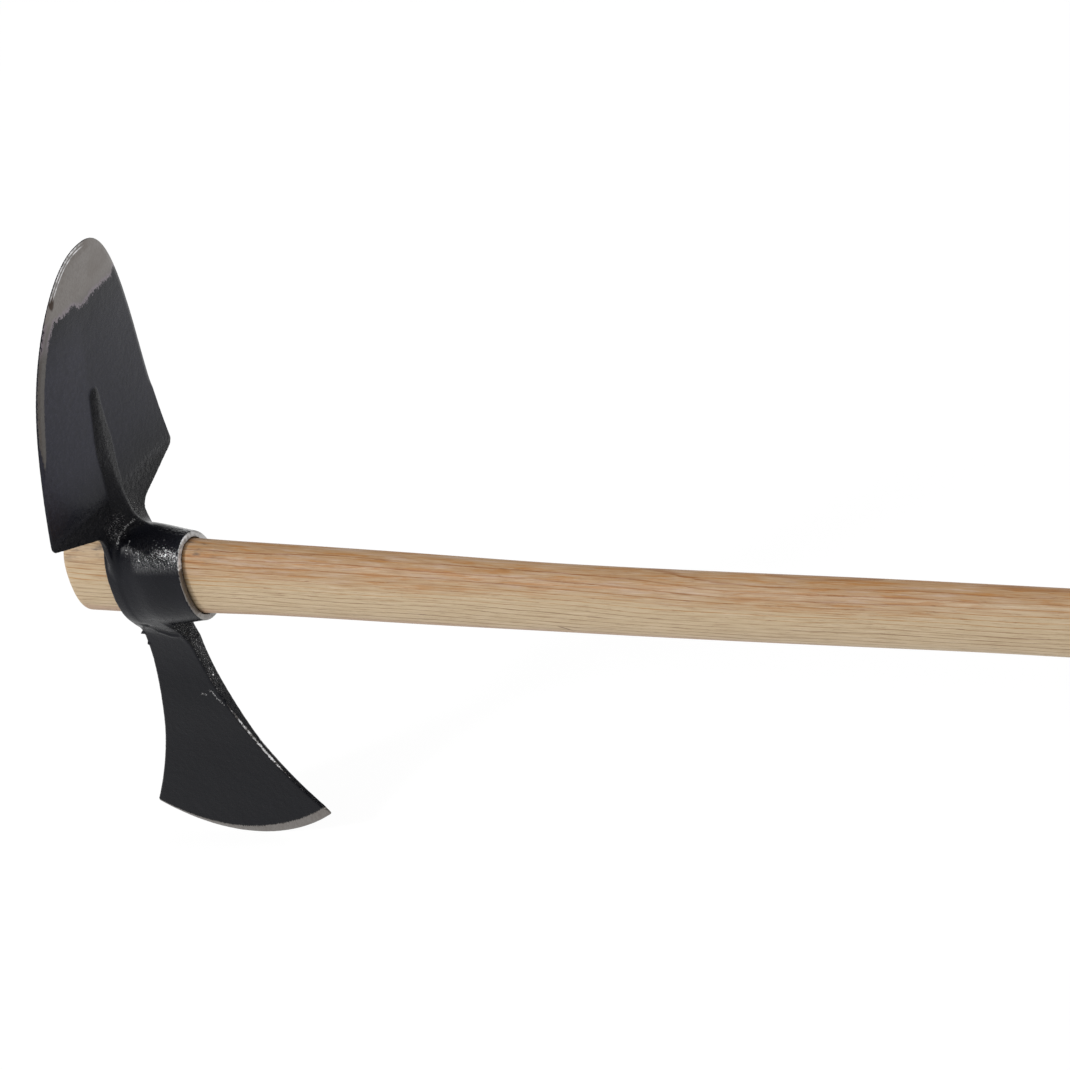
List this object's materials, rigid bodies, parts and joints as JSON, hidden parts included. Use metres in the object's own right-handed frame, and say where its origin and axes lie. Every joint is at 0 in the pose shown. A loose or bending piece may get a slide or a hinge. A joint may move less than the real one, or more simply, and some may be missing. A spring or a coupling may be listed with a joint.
{
  "type": "two-bladed planting hoe",
  "caption": "Long-handled planting hoe: a forged head with a pointed spade blade opposite a flared axe blade, its tapered oval eye jammed on the thick end of an ash handle.",
  "frame": {"origin": "centre of the handle's flat end face at the head", "axes": "+X along the handle's axis to the grip, +Z from the eye to the spade blade, -Z to the axe blade; the tool is symmetric about the XZ plane"},
  "size_m": [1.055, 0.1206, 0.3899],
  "materials": {
    "forged_steel": "black lacquered forged steel, satin to gloss, ground bare at the spade's tip, the cutting edges and the eye's ring",
    "ash": "sanded ash with long fine grain, thinly oiled"
  },
  "bodies": {
    "root": {"forged_head": "forged_steel", "ash_handle": "ash"}
  },
  "joints": []
}
